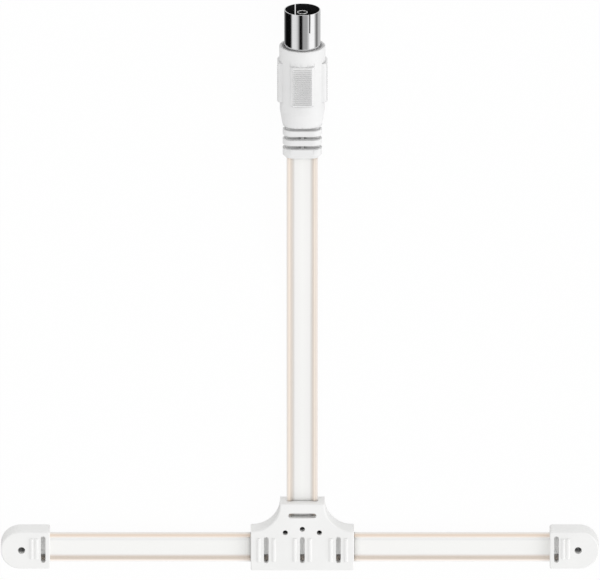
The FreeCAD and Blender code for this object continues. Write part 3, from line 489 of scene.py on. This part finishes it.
# The crease where the taper meets the barrel is sharp all round
for crease in boot_form.edges:
    if all(abs(boot_form.vertices[end].co.y - taper_top) < close_by for end in crease.vertices):
        crease.use_edge_sharp = True
boot = bpy.data.objects.new("moulded_boot", boot_form)
scene.collection.objects.link(boot)
flats = boot.modifiers.new("flats", "WEIGHTED_NORMAL")
flats.keep_sharp = True
scene.view_layers[0].update()
boot_mesh = bpy.data.meshes.new_from_object(boot.evaluated_get(bpy.context.evaluated_depsgraph_get()))
boot.modifiers.clear()
boot.data = boot_mesh
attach(boot, "root")
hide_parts("socket_boot")

# Each pad is covered with small ridges across the boot. One row of them is turned to all four sides.
ridge_tree = bpy.data.node_groups.new("grip_ridges", "GeometryNodeTree")
ridge_tree.interface.new_socket("Geometry", in_out="INPUT", socket_type="NodeSocketGeometry")
ridge_tree.interface.new_socket("Geometry", in_out="OUTPUT", socket_type="NodeSocketGeometry")
ridge_sizes = {"Ridges": 19, "Pitch": 0.0006, "Ridge Length": 0.00530, "Ridge Width": 0.00062,
               "Ridge Height": 0.00030, "Panel Height": 0.00674, "Pads": 4}
ridge_sockets = {}
for name, value in ridge_sizes.items():
    kind = "NodeSocketInt" if isinstance(value, int) else "NodeSocketFloat"
    ridge_sockets[name] = ridge_tree.interface.new_socket(name, in_out="INPUT", socket_type=kind).identifier
given = ridge_tree.nodes.new("NodeGroupInput").outputs
# A bar of three sides, laid across the boot with one corner up, and the width and height of its triangle
bar = add_node(ridge_tree, "GeometryNodeMeshCylinder", inputs={"Vertices": 3, "Radius": 1.0, "Depth": 1.0})
triangle_width, triangle_height = math.sqrt(3), 1.5
laid = add_node(ridge_tree, "GeometryNodeTransform",
                inputs={"Geometry": bar.outputs["Mesh"], "Rotation": (0.0, math.radians(-90), 0.0)})
bar_width = add_node(ridge_tree, "ShaderNodeMath", {"operation": "DIVIDE"},
                     {0: given["Ridge Width"], 1: triangle_width})
bar_height = add_node(ridge_tree, "ShaderNodeMath", {"operation": "DIVIDE"},
                      {0: given["Ridge Height"], 1: triangle_height})
bar_scale = add_node(ridge_tree, "ShaderNodeCombineXYZ",
                     inputs={"X": given["Ridge Length"], "Y": bar_width.outputs[0], "Z": bar_height.outputs[0]})
floor_gap = add_node(ridge_tree, "ShaderNodeMath", {"operation": "MULTIPLY_ADD"},
                     {0: bar_height.outputs[0], 1: 0.5, 2: given["Panel Height"]})
lift = add_node(ridge_tree, "ShaderNodeCombineXYZ", inputs={"Z": floor_gap.outputs[0]})
ridge = add_node(ridge_tree, "GeometryNodeTransform",
                 inputs={"Geometry": laid.outputs[0], "Translation": lift.outputs[0], "Scale": bar_scale.outputs[0]})
step = add_node(ridge_tree, "ShaderNodeCombineXYZ", inputs={"Y": given["Pitch"]})
# The row starts half its length before the pad's middle
spaces = add_node(ridge_tree, "ShaderNodeMath", {"operation": "SUBTRACT"}, {0: given["Ridges"], 1: 1.0})
half_row = add_node(ridge_tree, "ShaderNodeMath", {"operation": "MULTIPLY"}, {0: spaces.outputs[0], 1: -0.5})
row_start = add_node(ridge_tree, "ShaderNodeMath", {"operation": "MULTIPLY"},
                     {0: half_row.outputs[0], 1: given["Pitch"]})
first = add_node(ridge_tree, "ShaderNodeCombineXYZ", inputs={"Y": row_start.outputs[0]})
row = add_node(ridge_tree, "GeometryNodeMeshLine",
               inputs={"Count": given["Ridges"], "Start Location": first.outputs[0], "Offset": step.outputs[0]})
row_of_ridges = add_node(ridge_tree, "GeometryNodeInstanceOnPoints",
                         inputs={"Points": row.outputs["Mesh"], "Instance": ridge.outputs[0]})
sides = add_node(ridge_tree, "GeometryNodeMeshLine", inputs={"Count": given["Pads"], "Offset": (0.0, 0.0, 0.0)})
number = add_node(ridge_tree, "GeometryNodeInputIndex")
quarter = add_node(ridge_tree, "ShaderNodeMath", {"operation": "MULTIPLY"},
                   {0: number.outputs[0], 1: math.radians(90)})
facing = add_node(ridge_tree, "ShaderNodeCombineXYZ", inputs={"Y": quarter.outputs[0]})
all_sides = add_node(ridge_tree, "GeometryNodeInstanceOnPoints",
                     inputs={"Points": sides.outputs["Mesh"], "Instance": row_of_ridges.outputs[0],
                             "Rotation": facing.outputs[0]})
face_middle = (0.0, grip_middle_y + (face_top - face_foot) / 2, socket_axis)
on_boot = add_node(ridge_tree, "GeometryNodeTransform",
                   inputs={"Geometry": all_sides.outputs[0], "Translation": face_middle})
real = add_node(ridge_tree, "GeometryNodeRealizeInstances", inputs={"Geometry": on_boot.outputs[0]})
finished = add_node(ridge_tree, "GeometryNodeSetMaterial",
                    inputs={"Geometry": real.outputs[0], "Material": boot_pvc})
add_node(ridge_tree, "NodeGroupOutput", inputs={"Geometry": finished.outputs[0]})

ridges = bpy.data.objects.new("grip_ridges", bpy.data.meshes.new("grip_ridges"))
scene.collection.objects.link(ridges)
ridge_maker = ridges.modifiers.new("ridges", "NODES")
ridge_maker.node_group = ridge_tree
for name, value in ridge_sizes.items():
    ridge_maker[ridge_sockets[name]] = value
scene.view_layers[0].update()
ridge_mesh = bpy.data.meshes.new_from_object(ridges.evaluated_get(bpy.context.evaluated_depsgraph_get()))
ridges.modifiers.clear()
ridges.data = ridge_mesh
ridge_mesh.shade_flat()
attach(ridges, "root")


# Socket shell
# A thin brass tube with bright chrome plating, slit on two sides so that it springs when it is plugged in. Its
# rear is held in the boot.

# Polished chrome mirrors the room in long bands, with faint marks round it from the lathe
chrome = bpy.data.materials.new("bright_chrome_plating")
chrome.use_nodes = True
tree = chrome.node_tree
plating = tree.nodes["Principled BSDF"]
plating.inputs["Metallic"].default_value = 1.0
spot = add_node(tree, "ShaderNodeTexCoord")
turning = add_node(tree, "ShaderNodeMapping",
                   inputs={"Vector": spot.outputs["Object"], "Scale": (60.0, 5200.0, 60.0)})
marks = add_node(tree, "ShaderNodeTexNoise", inputs={"Vector": turning.outputs[0], "Scale": 1.0, "Detail": 2.0})
tint = add_node(tree, "ShaderNodeValToRGB", inputs={"Fac": marks.outputs[0]})
fill_ramp(tint, [(0.3, "#F2F2F3"), (0.7, "#F8F8F9")])
tree.links.new(tint.outputs["Color"], plating.inputs["Base Color"])
polish = add_node(tree, "ShaderNodeMapRange", inputs={"Value": marks.outputs[0], "To Min": 0.05, "To Max": 0.1})
tree.links.new(polish.outputs[0], plating.inputs["Roughness"])

# Painted shade: the bores of the shell and the sleeve are painted almost black, for the dark inside the socket
shaded_bore = bpy.data.materials.new("painted_shade_bore")
shaded_bore.use_nodes = True
tree = shaded_bore.node_tree
bore = tree.nodes["Principled BSDF"]
spot = add_node(tree, "ShaderNodeTexCoord")
scuffs = add_node(tree, "ShaderNodeTexNoise",
                  inputs={"Vector": spot.outputs["Object"], "Scale": 1800.0, "Detail": 3.0})
tint = add_node(tree, "ShaderNodeValToRGB", inputs={"Fac": scuffs.outputs[0]})
fill_ramp(tint, [(0.3, "#121213"), (0.7, "#1E1E20")])
tree.links.new(tint.outputs["Color"], bore.inputs["Base Color"])
dull = add_node(tree, "ShaderNodeMapRange", inputs={"Value": scuffs.outputs[0], "To Min": 0.55, "To Max": 0.7})
tree.links.new(dull.outputs[0], bore.inputs["Roughness"])

shell_radius, shell_wall, shell_sides = 0.005075, 0.00028, 160
shell_rear, shell_mouth, slit_end = 0.1436, 0.1625, 0.15705
lower_middle, upper_middle = 0.150, 0.160
slit_turns = (math.radians(24), math.radians(204))
slit_half_width = 0.00015
slit_half_turn = slit_half_width / shell_radius
# Rows of faces close to the mouth and the slits keep the edges' rounding narrow, and no other row is this near
hold, clear_turn = 0.00012, 0.04


def turn_between(one, other):
    """The smaller turn between two directions about the socket's axis."""
    return abs((one - other + math.pi) % math.tau - math.pi)


angles = sorted({round(turn % math.tau, 6) for turn in [math.tau * n / shell_sides for n in range(shell_sides)]
                 if all(turn_between(turn, slit) > slit_half_turn + clear_turn for slit in slit_turns)}
                | {round((slit + sign * (slit_half_turn + beside)) % math.tau, 6)
                   for slit in slit_turns for sign in (-1, 1) for beside in (0.0, hold / shell_radius)})
levels = [shell_rear, lower_middle, slit_end - hold, slit_end, upper_middle, shell_mouth - hold, shell_mouth]
mesh = bmesh.new()
grid = [[mesh.verts.new((shell_radius * math.sin(a), y, socket_axis + shell_radius * math.cos(a))) for a in angles]
        for y in levels]
for level in range(len(levels) - 1):
    for n in range(len(angles)):
        after = (n + 1) % len(angles)
        middle = angles[n] + ((angles[after] - angles[n]) % math.tau) / 2
        in_slit = any(turn_between(middle, slit) < slit_half_turn for slit in slit_turns)
        if in_slit and levels[level] >= slit_end:
            continue
        mesh.faces.new((grid[level][n], grid[level + 1][n], grid[level + 1][after], grid[level][after]))
bmesh.ops.recalc_face_normals(mesh, faces=mesh.faces)
shell_mesh = bpy.data.meshes.new("chrome_shell")
mesh.to_mesh(shell_mesh)
mesh.free()
shell = bpy.data.objects.new("chrome_shell", shell_mesh)
scene.collection.objects.link(shell)
outward = shell_mesh.polygons[0]
if outward.normal.dot(outward.center - Vector((0.0, outward.center.y, socket_axis))) < 0:
    shell_mesh.flip_normals()
wall = shell.modifiers.new("wall", "SOLIDIFY")
wall.thickness = shell_wall
wall.offset = -1.0
# The inner faces take the bore's painted shade
wall.material_offset = 1
edge = shell.modifiers.new("edge", "BEVEL")
edge.width = 0.00005
edge.segments = 2
edge.limit_method = "ANGLE"
edge.angle_limit = math.radians(50)


def settle(piece):
    """Applies a piece's modifiers, smooths its faces by angle, and puts it on the antenna's body."""
    scene.view_layers[0].update()
    result = bpy.data.meshes.new_from_object(piece.evaluated_get(bpy.context.evaluated_depsgraph_get()))
    piece.modifiers.clear()
    piece.data = result
    result.shade_smooth()
    result.set_sharp_from_angle(angle=math.radians(35))
    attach(piece, "root")


shell_mesh.materials.append(chrome)
shell_mesh.materials.append(shaded_bore)
settle(shell)
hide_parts("socket_shell")


# Centre contact and insulator
# A turned and plated sleeve for the centre pin, pressed into a black moulded disc that fills the shell.

# Nickel shines a little warmer and softer than chrome
nickel = bpy.data.materials.new("turned_nickel_plating")
nickel.use_nodes = True
tree = nickel.node_tree
plating = tree.nodes["Principled BSDF"]
plating.inputs["Metallic"].default_value = 1.0
spot = add_node(tree, "ShaderNodeTexCoord")
turning = add_node(tree, "ShaderNodeMapping",
                   inputs={"Vector": spot.outputs["Object"], "Scale": (80.0, 6000.0, 80.0)})
marks = add_node(tree, "ShaderNodeTexNoise", inputs={"Vector": turning.outputs[0], "Scale": 1.0, "Detail": 2.0})
tint = add_node(tree, "ShaderNodeValToRGB", inputs={"Fac": marks.outputs[0]})
fill_ramp(tint, [(0.3, "#EAEAE8"), (0.7, "#F4F4F2")])
tree.links.new(tint.outputs["Color"], plating.inputs["Base Color"])
polish = add_node(tree, "ShaderNodeMapRange", inputs={"Value": marks.outputs[0], "To Min": 0.18, "To Max": 0.28})
tree.links.new(polish.outputs[0], plating.inputs["Roughness"])

# The sleeve's outline as radii and places along the axis: up its outer side, round its lip, and down its bore.
# Only the lip is plated. The walls take the bore's painted shade, for the dark of the shell.
sleeve_outline = [(0.0, 0.1452), (0.0009, 0.1452), (0.0010, 0.1453), (0.0010, 0.1530), (0.001525, 0.1530),
                  (0.001525, 0.16158), (0.00150, 0.16168), (0.00144, 0.16174), (0.00140, 0.16175), (0.00129, 0.16175),
                  (0.00122, 0.16172), (0.001175, 0.16160), (0.001175, 0.15375), (0.0, 0.15375)]
lip_start, lip_end, sleeve_sides = 5, 10, 64
bright_slot, dark_slot = 0, 1
mesh = bmesh.new()
rings = []
for radius, y in sleeve_outline:
    if radius == 0.0:
        rings.append([mesh.verts.new((0.0, y, socket_axis))])
    else:
        rings.append([mesh.verts.new((radius * math.sin(math.tau * n / sleeve_sides), y,
                                      socket_axis + radius * math.cos(math.tau * n / sleeve_sides)))
                      for n in range(sleeve_sides)])
for turned, (inner, outer) in enumerate(zip(rings, rings[1:])):
    for n in range(sleeve_sides):
        after = (n + 1) % sleeve_sides
        corners = [inner[n % len(inner)], outer[n % len(outer)], outer[after % len(outer)], inner[after % len(inner)]]
        face = mesh.faces.new(list(dict.fromkeys(corners)))
        face.material_index = bright_slot if lip_start <= turned <= lip_end else dark_slot
bmesh.ops.recalc_face_normals(mesh, faces=mesh.faces)
contact_mesh = bpy.data.meshes.new("contact_sleeve")
mesh.to_mesh(contact_mesh)
mesh.free()
contact = bpy.data.objects.new("contact_sleeve", contact_mesh)
scene.collection.objects.link(contact)
contact_mesh.materials.append(nickel)
contact_mesh.materials.append(shaded_bore)
settle(contact)
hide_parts("centre_contact")

# Black moulded plastic with a satin face, which the dark of the shell all but hides
black_disc = bpy.data.materials.new("moulded_black_insulator")
black_disc.use_nodes = True
tree = black_disc.node_tree
disc = tree.nodes["Principled BSDF"]
disc.inputs["IOR"].default_value = 1.5
spot = add_node(tree, "ShaderNodeTexCoord")
grain = add_node(tree, "ShaderNodeTexNoise",
                 inputs={"Vector": spot.outputs["Object"], "Scale": 3000.0, "Detail": 2.0})
tint = add_node(tree, "ShaderNodeValToRGB", inputs={"Fac": grain.outputs[0]})
fill_ramp(tint, [(0.3, "#101010"), (0.7, "#1A1A1A")])
tree.links.new(tint.outputs["Color"], disc.inputs["Base Color"])
satin = add_node(tree, "ShaderNodeMapRange", inputs={"Value": grain.outputs[0], "To Min": 0.45, "To Max": 0.6})
tree.links.new(satin.outputs[0], disc.inputs["Roughness"])
finish_nodes(black_disc, "socket_insulator")


# Matching transformer
# A sintered ferrite core with two holes inside the boot, and the windings through it.

# Fired ferrite is dark grey and dull, with a fine grain
ferrite = bpy.data.materials.new("sintered_ferrite")
ferrite.use_nodes = True
tree = ferrite.node_tree
ceramic = tree.nodes["Principled BSDF"]
ceramic.inputs["IOR"].default_value = 2.2
spot = add_node(tree, "ShaderNodeTexCoord")
grain = add_node(tree, "ShaderNodeTexNoise",
                 inputs={"Vector": spot.outputs["Object"], "Scale": 4000.0, "Detail": 6.0})
tint = add_node(tree, "ShaderNodeValToRGB", inputs={"Fac": grain.outputs[0]})
fill_ramp(tint, [(0.3, "#2A2A2C"), (0.7, "#454548")])
tree.links.new(tint.outputs["Color"], ceramic.inputs["Base Color"])
dull = add_node(tree, "ShaderNodeMapRange", inputs={"Value": grain.outputs[0], "To Min": 0.5, "To Max": 0.75})
tree.links.new(dull.outputs[0], ceramic.inputs["Roughness"])
finish_nodes(ferrite, "transformer_core")
finish_nodes(drawn_copper, "primary_winding", "secondary_winding")
